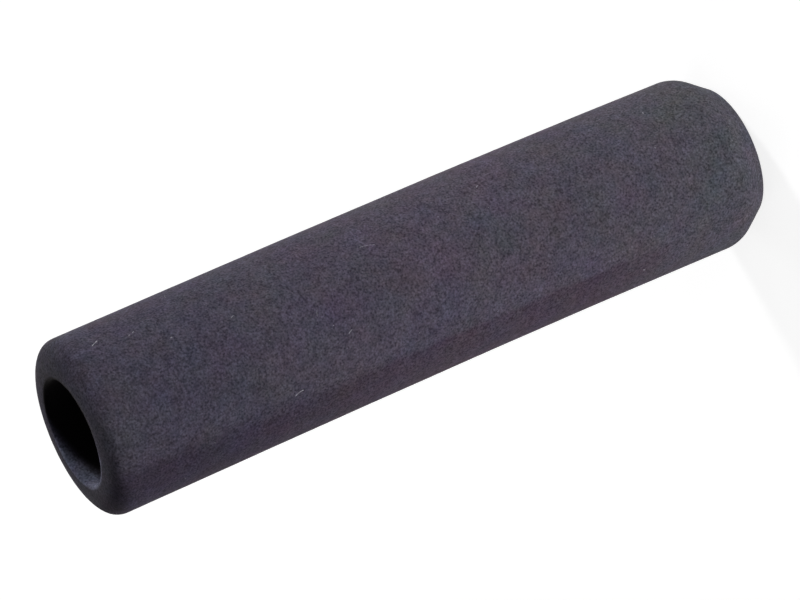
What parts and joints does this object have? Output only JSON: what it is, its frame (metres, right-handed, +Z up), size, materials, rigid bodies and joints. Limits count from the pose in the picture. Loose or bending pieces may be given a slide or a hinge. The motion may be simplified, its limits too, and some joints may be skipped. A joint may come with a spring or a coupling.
{
  "type": "handlebar grip",
  "caption": "Straight foam sleeve that slides onto the end of a bicycle handlebar as a hand grip, with a domed inner lip and a chamfered outer end.",
  "frame": {"origin": "centre of the flat outer end face that the grip stands on", "axes": "+Z up the bore, from the chamfered outer end to the domed inner lip; X and Y are any two directions across the round tube"},
  "size_m": [0.0314, 0.0314, 0.13],
  "materials": {
    "foam": "dead matt, ground surface of charcoal closed-cell foam rubber with a fine grain and a few pale flecks"
  },
  "bodies": {
    "root": {"foam_sleeve": "foam"}
  },
  "joints": []
}
